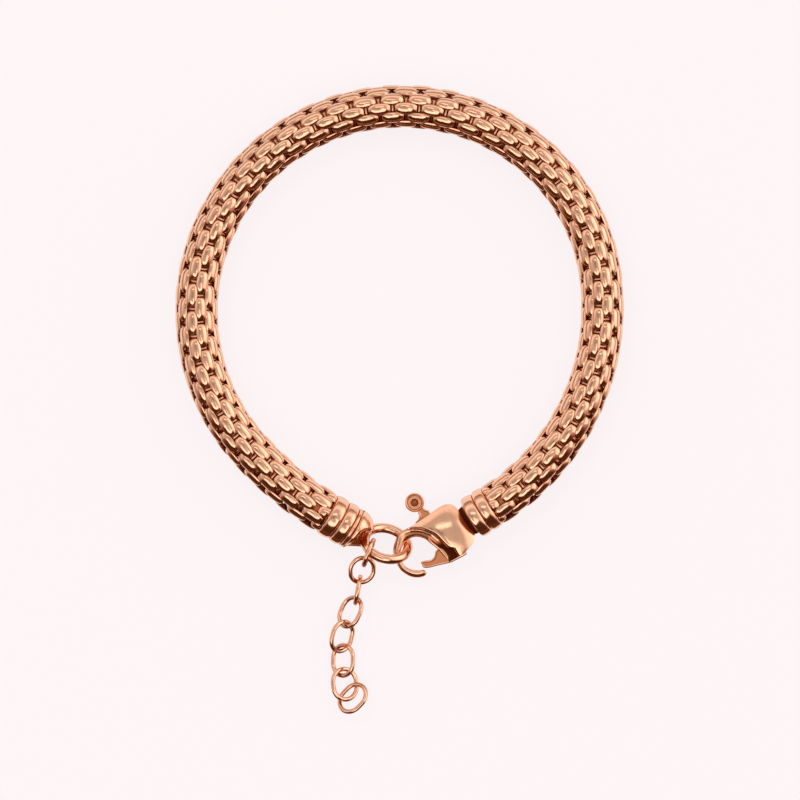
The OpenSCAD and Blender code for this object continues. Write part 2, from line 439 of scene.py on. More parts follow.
def kernel():
    shape = bmesh.new()
    steps = len(KERNEL_STATIONS) - 1
    bmesh.ops.create_grid(shape, x_segments=2 * steps, y_segments=2 * steps, size=1)
    painted_shade = shape.verts.layers.float.new("painted_shade")
    for v in shape.verts:
        station = round(abs(v.co.x) * steps)
        across, up = ARCH[round(abs(v.co.y) * steps)]
        v.co = Vector((math.copysign(KERNEL_STATIONS[station], v.co.x),
                       math.copysign(KERNEL_HALF_WIDTHS[station] * across, v.co.y),
                       KERNEL_HEIGHTS[station] * up)) * MM
    rim = [e for e in shape.edges if e.is_boundary]
    for v in {v for e in rim for v in e.verts}:
        v[painted_shade] = KERNEL_RIM_SHADE
    foot = bmesh.ops.extrude_edge_only(shape, edges=rim)["geom"]
    for v in [g for g in foot if isinstance(g, bmesh.types.BMVert)]:
        v.co = Vector((v.co.x * FOOT_LENGTH, v.co.y * FOOT_WIDTH, -FOOT_DROP * MM))
        v[painted_shade] = KERNEL_FOOT_SHADE
    bmesh.ops.contextual_create(shape, geom=[g for g in foot if isinstance(g, bmesh.types.BMEdge)])
    bmesh.ops.recalc_face_normals(shape, faces=shape.faces)
    for face in shape.faces:
        face.smooth = True
    for e in rim:
        e.smooth = False
    return finished(shape, "kernel")


one_kernel = kernel()
print("faces in a kernel", len(one_kernel.polygons))

# %% [markdown]
# The popcorn mesh has twelve columns of kernels around the chain, each column half a step from the
# next. An array modifier along a curve would make every kernel alike, so a loop stamps them one by
# one with a small turn of their own. The column on top leans outwards in the middle of the chain
# and turns upright towards the ends, as the real chain has twisted on the table. Kernels that reach
# into a cap are cut off where it begins.

# %% Popcorn kernels
COLUMNS = 12
PITCH = 4.05 * MM
FIRST_KERNEL = 3.66 * MM
OVERHANG = 0.3 * PITCH
OUTER = 3.26 * MM
TILT_TOP = 22.5
END_ZONE = 2.2 * MM
CAP_LEAN = 0.12
LOOSE_TURN = 2.5
LOOSE_LIFT = 0.03 * MM
LOOSE_SEED = 11
FIRST_STEP = -1
LAST_STEP = round(2 * route_length / PITCH)
stations = {step: FIRST_KERNEL + (step - 1) * PITCH / 2 for step in range(FIRST_STEP, LAST_STEP + 1)}


def piece_from(shape, name, metal, body="bracelet"):
    mesh = finished(shape, name)
    mesh.materials.append(metal)
    made = bpy.data.objects.new(name, mesh)
    bpy.context.scene.collection.objects.link(made)
    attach(made, body)
    print(name, "faces", len(mesh.polygons))
    return made


def stamp(shape, mesh, matrix):
    start = len(shape.verts)
    shape.from_mesh(mesh)
    shape.verts.ensure_lookup_table()
    bmesh.ops.transform(shape, matrix=matrix, verts=shape.verts[start:])


def lean(distance):
    share = (distance - route_length / 2) / (route_length / 2)
    return math.radians(TILT_TOP * (1 - share * share))


def loose(draw):
    """A small turn and lift, because no two kernels of a worn-in chain sit quite alike."""
    turns = [math.radians(draw.uniform(-LOOSE_TURN, LOOSE_TURN)) for _ in range(3)]
    return Matrix.Translation((0, 0, draw.uniform(-LOOSE_LIFT, 0))) @ Euler(turns).to_matrix().to_4x4()


def trimmed(matrix, outward):
    """A kernel cut off where the leaning cap begins; outward is the way from the chain into the cap."""
    shape = bmesh.new()
    stamp(shape, one_kernel, matrix)
    edge = route_frame(0 if outward < 0 else route_length)
    bmesh.ops.bisect_plane(shape, geom=shape.verts[:] + shape.edges[:] + shape.faces[:],
                           plane_co=edge.translation, clear_outer=True,
                           plane_no=edge.to_3x3() @ Vector((outward, 0, -CAP_LEAN)))
    bmesh.ops.holes_fill(shape, edges=[e for e in shape.edges if e.is_boundary])
    return finished(shape, "trimmed_kernel")


def popcorn():
    shape = bmesh.new()
    shape.verts.layers.float.new("painted_shade")
    draw = random.Random(LOOSE_SEED)
    lift = Matrix.Translation((0, 0, OUTER - KERNEL_HEIGHTS[0] * MM))
    for step, distance in stations.items():
        if not -OVERHANG < distance < route_length + OVERHANG:
            continue
        for column in range(step % 2, COLUMNS, 2):
            angle = lean(distance) + math.radians(360 / COLUMNS * (column - 1))
            place = route_frame(distance) @ Matrix.Rotation(-angle, 4, "X") @ lift @ loose(draw)
            if distance < END_ZONE:
                stamp(shape, trimmed(place, -1), Matrix())
            elif distance > route_length - END_ZONE:
                stamp(shape, trimmed(place, 1), Matrix())
            else:
                stamp(shape, one_kernel, place)
    return piece_from(shape, "popcorn_kernels", chain_plating)


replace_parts(popcorn(), "chain")

# %% [markdown]
# The six kernels of one station stand on a ring that joins them. Its section is a small hexagon
# spun around the chain's middle line, and every station gets the same mesh. A torus would have a
# rounder section, but in the dark between the kernels six sides are enough.

# %% Popcorn rings
RING_RADIUS = 2.20 * MM
RING_HALF_WIDTH = 0.40 * MM
RING_HALF_HEIGHT = 0.34 * MM
RING_SIDES = 6
RING_STEPS = 18
# Painted shade on the rings, which lie in the dark between the kernels.
POPCORN_RING_SHADE = 0.55


def rings():
    one = bmesh.new()
    section = Matrix.Diagonal((RING_HALF_WIDTH, RING_HALF_HEIGHT, 1, 1))
    bmesh.ops.create_circle(one, segments=RING_SIDES, radius=1, matrix=section)
    bmesh.ops.translate(one, verts=one.verts, vec=(0, RING_RADIUS, 0))
    bmesh.ops.spin(one, geom=one.verts[:] + one.edges[:], cent=(0, 0, 0), axis=(1, 0, 0), steps=RING_STEPS,
                   angle=2 * math.pi, use_merge=True)
    bmesh.ops.recalc_face_normals(one, faces=one.faces)
    for face in one.faces:
        face.smooth = True
    one_ring = finished(one, "ring")
    shape = bmesh.new()
    for distance in stations.values():
        if 0 < distance < route_length:
            stamp(shape, one_ring, route_frame(distance))
    painted_shade = shape.verts.layers.float.new("painted_shade")
    for v in shape.verts:
        v[painted_shade] = POPCORN_RING_SHADE
    return piece_from(shape, "popcorn_rings", chain_plating)


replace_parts(rings(), "chain")

# %% [markdown]
# Behind the rings lies the inner weave, which shows only as a dark coppery wall. It is one closed
# tube of bridged circles, a little wider near the caps, and its two ends lean as the caps do. The
# tube stands in for the weave's wires, and its dark coppery colour is painted shade, darker still
# near the caps. To weave it wire by wire would cost many faces for what is nearly hidden.

# %% Inner weave
CORE_RADIUS = 2.3 * MM
CORE_WIDENING = 0.32 * MM
CORE_SIDES = 12
CORE_STEPS = 85
CORE_SHADE = 0.85
CORE_END_SHADE = 1.3


def leaning(slant):
    """A shear along X that grows with the height."""
    return Matrix(((1, 0, slant, 0), (0, 1, 0, 0), (0, 0, 1, 0), (0, 0, 0, 1)))


def core():
    shape = bmesh.new()
    loops = []
    for step in range(CORE_STEPS + 1):
        distance = route_length * step / CORE_STEPS
        slant = {0: -CAP_LEAN, CORE_STEPS: CAP_LEAN}.get(step, 0)
        at = route_frame(distance) @ leaning(slant) @ Matrix.Rotation(math.radians(90), 4, "Y")
        from_end = min(distance, route_length - distance)
        radius = CORE_RADIUS + CORE_WIDENING * min(max(2 - from_end / END_ZONE, 0), 1)
        verts = bmesh.ops.create_circle(shape, segments=CORE_SIDES, radius=radius, matrix=at)["verts"]
        loops.append(list({e for v in verts for e in v.link_edges}))
    for first, second in zip(loops, loops[1:]):
        bmesh.ops.bridge_loops(shape, edges=first + second)
    for loop in (loops[0], loops[-1]):
        bmesh.ops.contextual_create(shape, geom=loop)
    bmesh.ops.recalc_face_normals(shape, faces=shape.faces)
    for face in shape.faces:
        face.smooth = len(face.verts) == 4
    painted_shade = shape.verts.layers.float.new("painted_shade")
    ends = [route_frame(distance).translation for distance in (0, route_length)]
    for v in shape.verts:
        from_end = min((v.co - end).length for end in ends)
        # Painted shade, darker near the caps.
        v[painted_shade] = CORE_END_SHADE if from_end < 2 * END_ZONE else CORE_SHADE
    return piece_from(shape, "popcorn_inner_weave", chain_plating)


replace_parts(core(), "chain")

# %% [markdown]
# The lobster clasp is cast as two mirrored halves with the lever's slot between them. All its forms
# lie around the window. The outlines are short lists of points in the clasp's own frame, whose X
# runs to the neck, and a spline fills them in. Curve objects would draw the same lines, but plain
# points are quick to measure against.

# %% Clasp outlines
CLASP_AT = Vector((2.48, -36.38, 3.2)) * MM
CLASP_TURN = math.radians(32.5)
CLASP_PLACE = Matrix.Translation(CLASP_AT) @ Matrix.Rotation(CLASP_TURN, 4, "Z")
WINDOW = Vector((0.1, 0.05))
OUTLINE = [(3.2, -3.66), (4.3, -3.78), (5.0, -3.8), (6.0, -3.74), (7.6, -3.38), (8.5, -2.95), (8.84, -2.4),
           (9.06, -1.0), (9.12, 0), (9.04, 1.0), (8.84, 2.2), (8.5, 3.2), (7.9, 3.76), (6.9, 4.0),
           (5.9, 4.02), (5.0, 3.92), (4.0, 3.88), (2.8, 3.88), (1.5, 3.86), (0.6, 3.95), (-0.2, 3.92),
           (-0.85, 3.83)]
DOME_EDGE = [(4.9, -4.6), (5.0, -3.6), (5.04, -2.8), (5.02, -2.06), (4.46, -1.72), (4.18, -0.84),
             (3.97, 0.23), (3.72, 1.1), (3.17, 1.9), (2.4, 2.79), (1.45, 3.39), (0.4, 3.72), (-1.2, 3.8)]
CLAW_OUTER = [(3.9, -5), (5.05, -3.6), (5.05, -2.1), (4.46, -1.72), (4.18, -0.84), (3.97, 0.23),
              (3.72, 1.1), (3.17, 1.9), (2.4, 2.79), (1.45, 3.45), (0.35, 3.95), (-0.85, 3.83),
              (-1.94, 3.12), (-2.85, 2.08), (-3.3, 0.41), (-3.33, -0.81), (-2.9, -1.97), (-2.2, -2.86),
              (-1.2, -3.42), (0.0, -3.56)]
CLAW_INNER = [(3.55, -4.4), (3.36, -3.2), (3.2, -2.0), (2.98, -0.9), (2.62, 0.05), (2.2, 1.2),
              (1.3, 2.13), (0.1, 2.45), (-1.1, 2.13), (-2.05, 1.3), (-2.45, 0.3), (-2.46, -0.6),
              (-2.05, -1.42), (-1.32, -2.1), (-0.5, -2.56), (0.1, -2.7)]
SPLINE_STEPS = 6


def smooth_line(points):
    """A denser line through the points, bent like a spline."""
    line = []
    last = len(points) - 1
    for index in range(last):
        before, a, b, after = [Vector(points[min(max(index + k, 0), last)]) for k in (-1, 0, 1, 2)]
        for t in [step / SPLINE_STEPS for step in range(SPLINE_STEPS)]:
            line.append(0.5 * (2 * a + (b - before) * t + (2 * before - 5 * a + 4 * b - after) * t * t
                               + (3 * a - before - 3 * b + after) * t ** 3))
    return line + [Vector(points[last])]


outline, dome_edge, claw_outer, claw_inner = map(smooth_line, (OUTLINE, DOME_EDGE, CLAW_OUTER, CLAW_INNER))
print("points in the smooth outline", len(outline))

# %% [markdown]
# Sculpting would give the clasp's soft forms too, but nobody could read their sizes. Here a sheet is
# one grid, bent so that its lines are rays from the window's middle. It is extruded into a slab:
# the upper copy takes the form, the lower one keeps clear of the slot, and a mirror makes the other
# half. A form is a function that gives each point its radius, its height and its painted shade.

# %% Slabs around the window
LEAST_WIDTH = 0.01
SHORTEST = 1e-6
NO_LENGTH = 1e-9


def towards(angle):
    return Vector((math.cos(angle), math.sin(angle)))


def reach(line, angle, centre=WINDOW):
    """How far a ray from the centre goes until it meets the line."""
    ray = towards(angle)
    for a, b in zip(line, line[1:]):
        a, b = a - centre, b - centre
        if ray.dot(a + b) > 0 and ray.cross(a) * ray.cross(b) <= 0 and (b - a).length > SHORTEST:
            return a.cross(b - a) / ray.cross(b - a)
    raise ValueError("the ray misses the line at %.1f degrees" % math.degrees(angle))


def edge_gap(line, point):
    """The distance from a point to the nearest place on the line."""
    gaps = []
    for a, b in zip(line, line[1:]):
        along = (point - a).dot(b - a) / max((b - a).length_squared, NO_LENGTH)
        gaps.append((point - a - (b - a) * min(max(along, 0), 1)).length)
    return min(gaps)


def ease(value, low, high):
    share = min(max((value - low) / (high - low), 0), 1)
    return share * share * (3 - 2 * share)


def slab(rays, rows, form, centre=WINDOW, mirrored=True):
    shape = bmesh.new()
    bmesh.ops.create_grid(shape, x_segments=len(rays) - 1, y_segments=rows, size=1)
    painted_shade = shape.verts.layers.float.new("painted_shade")
    top = bmesh.ops.extrude_face_region(shape, geom=shape.faces[:], use_keep_orig=True)["geom"]
    upper = {v for v in top if isinstance(v, bmesh.types.BMVert)}
    for v in shape.verts:
        angle = math.radians(rays[round((v.co.x + 1) / 2 * (len(rays) - 1))])
        radius, height, shade_amount = form(angle, round((v.co.y + 1) / 2 * rows), v in upper)
        v.co = Vector((*(centre + radius * towards(angle)), height)) * MM
        v[painted_shade] = shade_amount
    if mirrored:
        bmesh.ops.mirror(shape, geom=shape.verts[:] + shape.edges[:] + shape.faces[:], merge_dist=0, axis="Z")
    return shape


print("window reach mm", round(reach(claw_inner, 1.0), 2), "clasp reach mm", round(reach(outline, 0.0), 2))

# %% [markdown]
# The dome is almost flat in its middle, with a soft bevel along the side of the thumb ball, and it
# falls off towards the neck. Beside the window it drops as a steep wall, with a square pocket at
# the lower corner, and the foot of that wall gets dark painted shade. A faint line of painted shade
# runs along the inner side of the bevel.

# %% Dome of the clasp
SLOT_HALF = 0.5
SLOT_END = 7.1
JOINED = -0.02
DOME_RAYS = [-37.1 + 2.08 * k for k in range(8)] + [-21.9 + 2.9 * k for k in range(42)]
DOME_ROWS = 16
ROW_CROWDING = 1.5
WALL_STEPS = [0.0, 0.05, 0.14, 0.3, 0.5]
WALL_FOOT = 0.52
WALL_SHADE = 1.7
WALL_ROUNDING = 0.4
DOME_TOP = 2.2
DOME_LOWEST = 0.55
DOME_MIDDLE = Vector((4.4, -0.1))
DOME_FALL = 0.036
DOME_FALL_UP = 0.062
DOME_FALL_DOWN = 0.04
NECK_FALL_FROM = 7.0
NECK_FALL = 0.06
BEVEL_WIDTH = 1.0
BEVEL_DROP = 0.18
BEVEL_CURVE = 1.15
BEVEL_SIDE = (-1, 1)
BEVEL_END = (8.0, 8.7)
CREASE_AT = 0.85
CREASE_WIDTH = 0.16
CREASE_SHADE = 0.35
CREASE_SIDE = (0.5, 2)


def dome_form(angle, row, is_upper):
    near, far = reach(dome_edge, angle), reach(outline, angle)
    wide = max(far - near, LEAST_WIDTH)
    last_wall = len(WALL_STEPS) - 1
    if row <= last_wall:
        along = min(WALL_STEPS[row], wide * row / DOME_ROWS)
    else:
        start = min(WALL_STEPS[-1], wide * last_wall / DOME_ROWS)
        share = (row - last_wall) / (DOME_ROWS - last_wall)
        along = start + (wide - start) * (1 - (1 - share) ** ROW_CROWDING)
    point = WINDOW + (near + along) * towards(angle)
    if not is_upper:
        return near + along, SLOT_HALF if point.x < SLOT_END else JOINED, 0.0
    if row == 0:
        # The foot of the wall gets dark painted shade.
        return near + along, WALL_FOOT, WALL_SHADE
    away = point - DOME_MIDDLE
    from_edge = edge_gap(outline, point)
    fall_across = DOME_FALL_UP if away.y > 0 else DOME_FALL_DOWN
    height = DOME_TOP - DOME_FALL * away.x ** 2 - fall_across * away.y ** 2
    height -= NECK_FALL * max(point.x - NECK_FALL_FROM, 0) ** 2
    bevel = BEVEL_DROP * ease(point.y, *BEVEL_SIDE) * (1 - ease(point.x, *BEVEL_END))
    height -= bevel * (1 - min(from_edge / BEVEL_WIDTH, 1)) ** BEVEL_CURVE
    height -= WALL_ROUNDING * (1 - min(along / WALL_STEPS[-1], 1)) ** 2
    # A faint line of painted shade inside the bevel.
    shade_line = math.exp(-((from_edge - CREASE_AT) / CREASE_WIDTH) ** 2)
    return near + along, max(height, DOME_LOWEST), shade_line * CREASE_SHADE * ease(point.y, *CREASE_SIDE)


print("dome rays", len(DOME_RAYS), "rows", DOME_ROWS)

# %% [markdown]
# A short round neck joins the dome to the ribs of the right cap. It lies in shadow, which is
# painted dark into its colour. A cylinder would leave a seam, while a slab whose rays start just
# inside the clasp's outline closes it.

# %% Neck of the clasp
NECK_SINK = 0.1
NECK_END = 9.55
NECK_HALF = 2.6
NECK_HEIGHT = 1.6
NECK_RAYS = [-14.5 + 2.0 * k for k in range(15)]
# Painted shadow of the neck's rows.
NECK_SHADE = [2.0, 2.0, 1.6]
NECK_ROWS = len(NECK_SHADE) - 1


def neck_form(angle, row, is_upper):
    near = reach(outline, angle) - NECK_SINK
    radius = near + ((NECK_END - WINDOW.x) / math.cos(angle) - near) * row / NECK_ROWS
    height = NECK_HEIGHT * (1 - (radius * math.sin(angle) / NECK_HALF) ** 2) ** 0.5
    return radius, height if is_upper else JOINED, NECK_SHADE[row]


print("neck rays", len(NECK_RAYS))

# %% [markdown]
# The claw is one curved bar: a flat strip under the dome, a ridge around the top of the window and
# a rounded hook that ends free. Each of the three has its own section, a list of heights from the
# window outwards, and they blend along the bar. The hook's tip is rounded off.

# %% Claw of the clasp
CLAW_RAYS = [-48.4 + 3.12 * k for k in range(101)]
CLAW_SHARES = [0, 0.04, 0.12, 0.25, 0.33, 0.5, 0.66, 0.8, 0.91, 1]
CLAW_ROWS = len(CLAW_SHARES) - 1
STRIP = [0.52, 0.6, 0.66, 0.67, 0.58, 0.54, 0.54, 0.54, 0.54, 0.54]
# Painted shade of the strip's rows: a little at the window's edge, dark under the dome and in the pocket.
STRIP_SHADE = [0.8, 0.6, 0.2, 0, 1.9, 2, 2, 2, 2, 2]
RIDGE = [0, 0.2, 0.37, 0.49, 0.56, 0.64, 0.74, 0.85, 0.83, 0.6]
# Painted shade of the ridge's rows: a painted dark reflection in the middle, shade at the outer edge.
RIDGE_SHADE = [0, 0, 0, 0.2, 0.6, 0.7, 0.4, 0, 0, 1.6]
HOOK = [0, 0.36, 0.53, 0.61, 0.63, 0.59, 0.49, 0.34, 0.18, 0]
INNER_ROWS = 5
INNER_STRIP_END = (4, 22)
OUTER_STRIP_END = (-15, 3)
HOOK_START = (85, 125)
TIP = (256, 263.6)
TIP_ROUNDING = 0.3
TIP_LEFT = 0.1
DOME_PASSED = 60
SLOT_CORNER = Vector((2, 0.2))
SLOT_SIDE = 3.4


def claw_form(angle, row, is_upper):
    degrees = math.degrees(angle)
    near, far = reach(claw_inner, angle), reach(claw_outer, angle)
    if degrees < DOME_PASSED:
        far = min(far, reach(outline, angle))
    far = max(far, near + LEAST_WIDTH)
    rounding = TIP_ROUNDING * ease(degrees, *TIP) ** 2
    radius = near + (far - near) * (rounding + (1 - 2 * rounding) * CLAW_SHARES[row])
    if not is_upper:
        point = WINDOW + radius * towards(angle)
        over_slot = point.x > SLOT_CORNER.x and point.y < SLOT_CORNER.y
        return radius, SLOT_HALF if over_slot or point.x > SLOT_SIDE else JOINED, 0.0
    strip = 1 - ease(degrees, *(INNER_STRIP_END if row < INNER_ROWS else OUTER_STRIP_END))
    hook = ease(degrees, *HOOK_START)
    ridge = (1 - strip) * (1 - hook)
    height = RIDGE[row] * ridge + STRIP[row] * strip + HOOK[row] * hook
    tip = max(1 - ease(degrees, *TIP) ** 2, TIP_LEFT) ** 0.5
    return radius, height * tip, STRIP_SHADE[row] * strip + RIDGE_SHADE[row] * ridge


def sharpen(shape, degrees=38):
    """Smooth shading, but for the edges that are sharper than so many degrees."""
    for face in shape.faces:
        face.smooth = True
    for e in shape.edges:
        e.smooth = e.calc_face_angle(0) < math.radians(degrees)


def clasp():
    shape = bmesh.new()
    shape.verts.layers.float.new("painted_shade")
    for rays, rows, form in ((DOME_RAYS, DOME_ROWS, dome_form), (NECK_RAYS, NECK_ROWS, neck_form),
                             (CLAW_RAYS, CLAW_ROWS, claw_form)):
        stamp(shape, finished(slab(rays, rows, form), "clasp_part"), CLASP_PLACE)
    bmesh.ops.recalc_face_normals(shape, faces=shape.faces)
    sharpen(shape)
    return piece_from(shape, "clasp_dome_and_claw", fitting_plating)


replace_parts(clasp(), "clasp_body")

# %% [markdown]
# The lever is a flat plate between the halves: the gate in front, the arm to the thumb ball at the
# back and the eye for the pin. Its outline is filled around the pin's hole, extruded and bevelled,
# and its faces are inset so that a fine raised rim runs around them, as on the real casting. The
# sunk panels get some painted shade, and the edge that faces away from the thumb ball lies in
# shadow, which is painted dark into its colour.

# %% Lever plate
LEVER_LINE = [(-0.22, -1.46), (0.15, -1.43), (0.55, -1.57), (1.0, -1.84), (1.41, -1.96), (1.85, -1.88),
              (2.2, -1.62), (2.46, -1.3), (2.8, -1.15), (3.7, -0.95), (4.3, -0.4), (3.85, 3.75),
              (2.35, 3.75), (2.4, 4.08), (3.0, 4.24), (3.42, 4.6), (3.5, 5.5), (3.3, 6.2), (4.5, 6.2),
              (4.52, 5.5), (4.7, 4.8), (5.02, 4.5), (5.08, 4.2), (5.0, 3.8), (5.75, -0.5), (6.3, -2.0),
              (6.42, -3.85), (6.25, -4.12), (5.6, -4.1), (3.8, -3.94), (3.1, -3.72), (1.73, -3.22),
              (0.45, -2.8), (-0.1, -2.5), (-0.29, -2.2), (-0.23, -1.85)]
LEVER_HALF = 0.43
LEVER_BEVEL = 0.17
PIVOT = Vector((5, -0.9))
PIN_CLEARANCE = 0.45
PIN_HOLE_SIDES = 20
RIM_WIDTH = 0.1
RIM_SLOPE = 0.05
PANEL_DEPTH = 0.07
LEVEL_NORMAL = 0.99
RIM_TURN = 1
TOUCHING = 0.0001 * MM
PANEL_SHADE = 0.75
UNDER_EDGE = -0.15
UNDER_SHADOW = 2.0


def level_faces(shape):
    return [f for f in shape.faces if abs(f.normal.z) > LEVEL_NORMAL]


def lever_plate():
    shape = bmesh.new()
    shape.verts.layers.float.new("painted_shade")
    line = [shape.verts.new(Vector((x, y, -LEVER_HALF)) * MM) for x, y in LEVER_LINE]
    for pair in zip(line, line[1:] + line[:1]):
        shape.edges.new(pair)
    bmesh.ops.create_circle(shape, segments=PIN_HOLE_SIDES, radius=PIN_CLEARANCE * MM,
                            matrix=Matrix.Translation(Vector((*PIVOT, -LEVER_HALF)) * MM))
    bmesh.ops.triangle_fill(shape, edges=shape.edges[:], use_beauty=True)
    top = bmesh.ops.extrude_face_region(shape, geom=shape.faces[:], use_keep_orig=True)["geom"]
    bmesh.ops.translate(shape, verts=[g for g in top if isinstance(g, bmesh.types.BMVert)],
                        vec=(0, 0, 2 * LEVER_HALF * MM))
    bmesh.ops.recalc_face_normals(shape, faces=shape.faces)
    rims = [e for e in shape.edges if not e.is_boundary and e.calc_face_angle(0) > RIM_TURN and
            abs(e.verts[0].co.z - e.verts[1].co.z) < TOUCHING]
    bmesh.ops.bevel(shape, geom=rims, offset=LEVER_BEVEL * MM, affect="EDGES", segments=3, profile=0.5,
                    material=-1)
    faces = level_faces(shape)
    bmesh.ops.inset_region(shape, faces=faces, thickness=RIM_WIDTH * MM, depth=0, use_even_offset=True)
    faces = [f for f in level_faces(shape) if f in faces]
    bmesh.ops.inset_region(shape, faces=faces, thickness=RIM_SLOPE * MM, depth=-PANEL_DEPTH * MM,
                           use_even_offset=True)
    for v in shape.verts:
        if abs(v.co.z) > (LEVER_HALF + 0.001) * MM:
            v.co.z = math.copysign((LEVER_HALF - PANEL_DEPTH) * MM, v.co.z)
    painted_shade = shape.verts.layers.float["painted_shade"]
    shape.normal_update()
    for v in shape.verts:
        if v.normal.y < UNDER_EDGE:
            v[painted_shade] = UNDER_SHADOW
    for v in {v for f in faces if f.is_valid for v in f.verts}:
        v[painted_shade] = PANEL_SHADE
    return finished(shape, "lever_plate")


lever_mesh = lever_plate()
print("lever plate faces", len(lever_mesh.polygons))

# %% [markdown]
# The thumb ball is a turned button with a drilled dimple, so its profile is spun as on a lathe. A
# sphere with a cut would lack the rings around the dimple. The same function turns the end caps.

# %% Thumb ball and lever
THUMB = Vector((3.86, 6.61))
THUMB_STEPS = 40
# The third number of each point is its painted shade: dark in the dimple and in the groove around it.
THUMB_PROFILE = [(0, 0.05, 1.3), (0.42, 0.05, 1.3), (0.46, 0.3, 1.3), (0.5, 0.6, 0.8), (0.6, 0.7, 0.2),
                 (0.96, 0.7, 0.1), (1.05, 0.6, 1.2), (1.13, 0.6, 1.0), (1.24, 0.68, 0), (1.34, 0.6, 0),
                 (1.44, 0.38, 0), (1.46, 0, 0), (1.44, -0.38, 0), (1.34, -0.6, 0), (1.1, -0.72, 0),
                 (0, -0.72, 0)]


def spun(profile, steps, matrix):
    """A lathe-turned mesh around X from (distance along X, radius, painted shade), moved by the matrix."""
    shape = bmesh.new()
    painted_shade = shape.verts.layers.float.new("painted_shade")
    line = []
    for along, radius, shade_amount in profile:
        v = shape.verts.new((along * MM, radius * MM, 0))
        v[painted_shade] = shade_amount
        line.append(v)
    for pair in zip(line, line[1:]):
        shape.edges.new(pair)
    bmesh.ops.spin(shape, geom=shape.verts[:] + shape.edges[:], cent=(0, 0, 0), axis=(1, 0, 0), steps=steps,
                   angle=2 * math.pi, use_merge=True)
    bmesh.ops.remove_doubles(shape, verts=shape.verts, dist=TOUCHING)
    bmesh.ops.transform(shape, matrix=matrix, verts=shape.verts)
    return finished(shape, "spun")


def lever():
    shape = bmesh.new()
    shape.verts.layers.float.new("painted_shade")
    stamp(shape, lever_mesh, CLASP_PLACE)
    upright = Matrix.Translation(Vector((*THUMB, 0)) * MM) @ Matrix.Rotation(math.radians(-90), 4, "Y")
    profile = [(height, radius, shade_amount) for radius, height, shade_amount in THUMB_PROFILE]
    stamp(shape, spun(profile, THUMB_STEPS, upright), CLASP_PLACE)
    bmesh.ops.recalc_face_normals(shape, faces=shape.faces)
    sharpen(shape)
    return piece_from(shape, "lever_with_thumb_ball", fitting_plating, body="lever")


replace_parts(lever(), "clasp_lever")

# %% [markdown]
# The end caps are turned: fat ribs with narrow grooves, whose shade is painted dark into the colour.
# Each is spun from one profile, which rib_line() draws rib by rib; a stack of torus shapes would
# leave seams. At the top the ribs of the real caps lean a little away from the chain, so the spun
# mesh is sheared by a few degrees, as the chain's ends are.

# %% End caps
CAP_RADIUS = 3.28
CAP_STEPS = 72
CAP_SHARPNESS = 50
GROOVE_RADIUS = 2.82
GROOVE_SHADE = 1.3
RIB_SQUARENESS = 0.55
RIB_POINTS = 10
RIB_SKEW = 0.3
LEFT_HEADING = math.radians(-31)


def rib_line(centre, half, radius=CAP_RADIUS, groove=GROOVE_RADIUS, skew=0.0):
    line = []
    for k in range(RIB_POINTS + 1):
        angle = math.pi * k / RIB_POINTS
        shade_amount = GROOVE_SHADE if k in (0, RIB_POINTS) else 0.0
        along = -math.cos(angle) + skew * math.sin(angle) ** 2
        bulge = math.sin(angle) ** RIB_SQUARENESS
        line.append((centre + half * along, groove + (radius - groove) * bulge, shade_amount))
    return line


# The third number of a profile point is its painted shade, also on the end faces that lie in shadow.
CAP_START = [(0.03, 0, 1.0), (0.03, 2.8, 1.0)]
RIGHT_PROFILE = (CAP_START + rib_line(0.96, 0.88, skew=RIB_SKEW) + rib_line(2.82, 0.92, skew=RIB_SKEW) +
                 [(3.76, 1, 2), (3.76, 0, 2)])
LEFT_PROFILE = (CAP_START + rib_line(1.13, 0.99) + rib_line(3.06, 0.86) +
                rib_line(4.26, 0.26, 3.18, 2.85) + [(4.56, 2.3, 1), (4.56, 0, 1)])
LEFT_CAP = Matrix.Translation((*ROUTE_START, AXIS_HEIGHT)) @ Matrix.Rotation(LEFT_HEADING, 4, "Z")
RIGHT_CAP = route_frame(route_length)


def cap(name, meshes):
    shape = bmesh.new()
    shape.verts.layers.float.new("painted_shade")
    shape.verts.layers.float.new("hollow")
    for mesh, place in meshes:
        stamp(shape, mesh, place)
    bmesh.ops.recalc_face_normals(shape, faces=shape.faces)
    sharpen(shape, CAP_SHARPNESS)
    return piece_from(shape, name, fitting_plating)


right_cap = cap("right_cap_ribs", [(spun(RIGHT_PROFILE, CAP_STEPS, leaning(CAP_LEAN)), RIGHT_CAP)])
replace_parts(right_cap, "end_cap_right")
print("right cap at mm", [round(c / MM, 2) for c in RIGHT_CAP.translation])

# %% [markdown]
# The left cap closes in a round hood that is cut open towards the front, and the jump ring hangs in
# its hollow. The hood's upper half is a slab again, whose rays start from the middle of the cut. Its
# lower half is a sphere that four planes cut and that is then thickened: one plane lies at the
# axis, one where the hood starts, and two open the bowl on the side where the ring hangs.

# %% Hood of the left cap
HOOD_MIDDLE = Vector((4.5, 0))
HOOD_START = 4.6
HOOD_RADIUS = 3.26
HOOD_INSIDE = 2.9
HOOD_RAYS = [76 + 4.17 * k for k in range(36)]
HOOD_ROWS = 12
HOOD_LIP = 0.45
